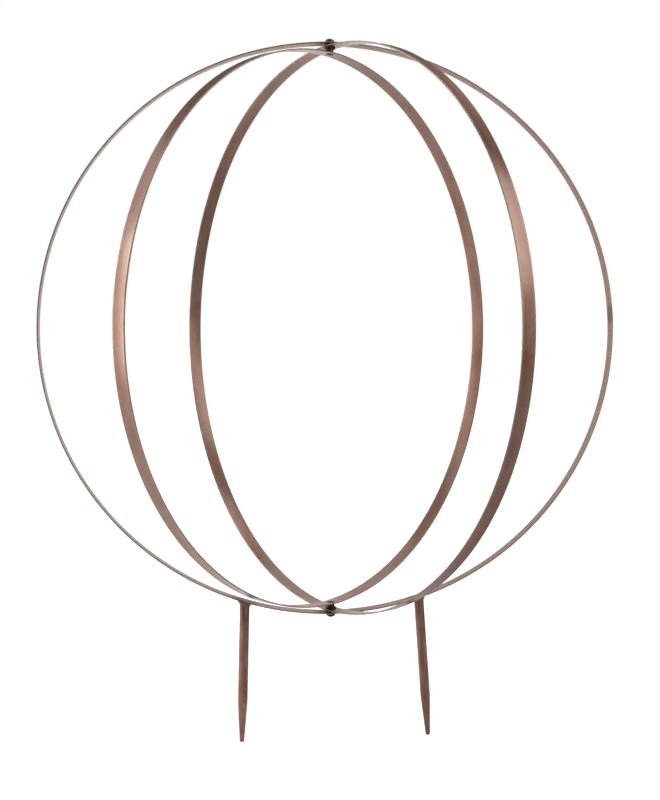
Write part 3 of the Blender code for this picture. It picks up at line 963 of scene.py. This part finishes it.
def make_sweep():
    """A white floor, which keeps the frame's shadow, and a low white wall that only reflections see."""
    bottom = CAD_BOX[0].z
    bpy.ops.mesh.primitive_plane_add(size=FLOOR_SIZE, location=(0, 0, bottom))
    floor = bpy.context.object
    floor.name = "floor"
    floor.data.materials.append(white_sweep("white_floor", FLOOR_GLOW, FLOOR_SHINE))
    corners = [(-WALL_HALF_LENGTH, 0, bottom), (WALL_HALF_LENGTH, 0, bottom)]
    corners += [(WALL_HALF_LENGTH, 0, WALL_TOP), (-WALL_HALF_LENGTH, 0, WALL_TOP)]
    mesh = bpy.data.meshes.new("wall")
    mesh.from_pydata(corners, [], [(0, 1, 2, 3)])
    mesh.materials.append(white_sweep("white_wall", 1.0, WALL_SHINE))
    wall = bpy.data.objects.new("wall", mesh)
    bpy.context.scene.collection.objects.link(wall)
    wall.location.y = WALL_DISTANCE
    wall.visible_camera = False
    wall.visible_shadow = False


def make_world():
    """White to the camera all round, and a dim room otherwise."""
    world = bpy.data.worlds.new("studio")
    bpy.context.scene.world = world
    world.use_nodes = True
    tree = world.node_tree
    tree.nodes.clear()
    seen = node(tree, "LightPath").outputs["Is Camera Ray"]
    level = span(tree, seen, 0.0, 1.0, ROOM_LEVEL, 1.0)
    sky = node(tree, "Background", {"Color": (1, 1, 1, 1), "Strength": level})
    output = node(tree, "OutputWorld")
    tree.links.new(sky.outputs[0], output.inputs["Surface"])


def aim(azimuth, elevation):
    """A direction from the globe's centre. Azimuth 0 is towards the front, and 90 is to the right."""
    azimuth = math.radians(azimuth)
    elevation = math.radians(elevation)
    flat = math.cos(elevation)
    return Vector((math.sin(azimuth) * flat, -math.cos(azimuth) * flat, math.sin(elevation)))


def add_softbox(name, azimuth, elevation, distance, width, height, radiance):
    """A rectangle of light aimed at the globe's centre. Its radiance is 1 where it looks white."""
    out = aim(azimuth, elevation)
    data = bpy.data.lights.new(name, "AREA")
    data.shape = "RECTANGLE"
    data.size = width
    data.size_y = height
    data.energy = radiance * math.pi * width * height
    lamp = bpy.data.objects.new(name, data)
    bpy.context.scene.collection.objects.link(lamp)
    lamp.location = CENTRE + out * distance
    lamp.rotation_euler = (-out).to_track_quat("-Z", "Y").to_euler()
    lamp.visible_camera = False


def make_lights():
    for softbox in SOFTBOXES:
        add_softbox(*softbox)


def make_camera():
    data = bpy.data.cameras.new("camera")
    data.sensor_width = CAMERA_SENSOR_MM
    data.lens = CAMERA_LENS_MM
    camera = bpy.data.objects.new("camera", data)
    bpy.context.scene.collection.objects.link(camera)
    pitched = Vector((0, math.cos(CAMERA_PITCH), math.sin(CAMERA_PITCH)))
    forward = Matrix.Rotation(CAMERA_YAW, 3, "Z") @ pitched
    turn = forward.to_track_quat("-Z", "Y").to_matrix() @ Matrix.Rotation(CAMERA_ROLL, 3, "Z")
    camera.matrix_world = Matrix.Translation(CAMERA_PLACE) @ turn.to_4x4()
    bpy.context.scene.camera = camera


def main():
    make_camera()
    make_world()
    make_lights()
    make_sweep()
    make_hoops()
    make_stakes()
    make_poles()
    bpy.context.scene.view_settings.view_transform = "Standard"


main()
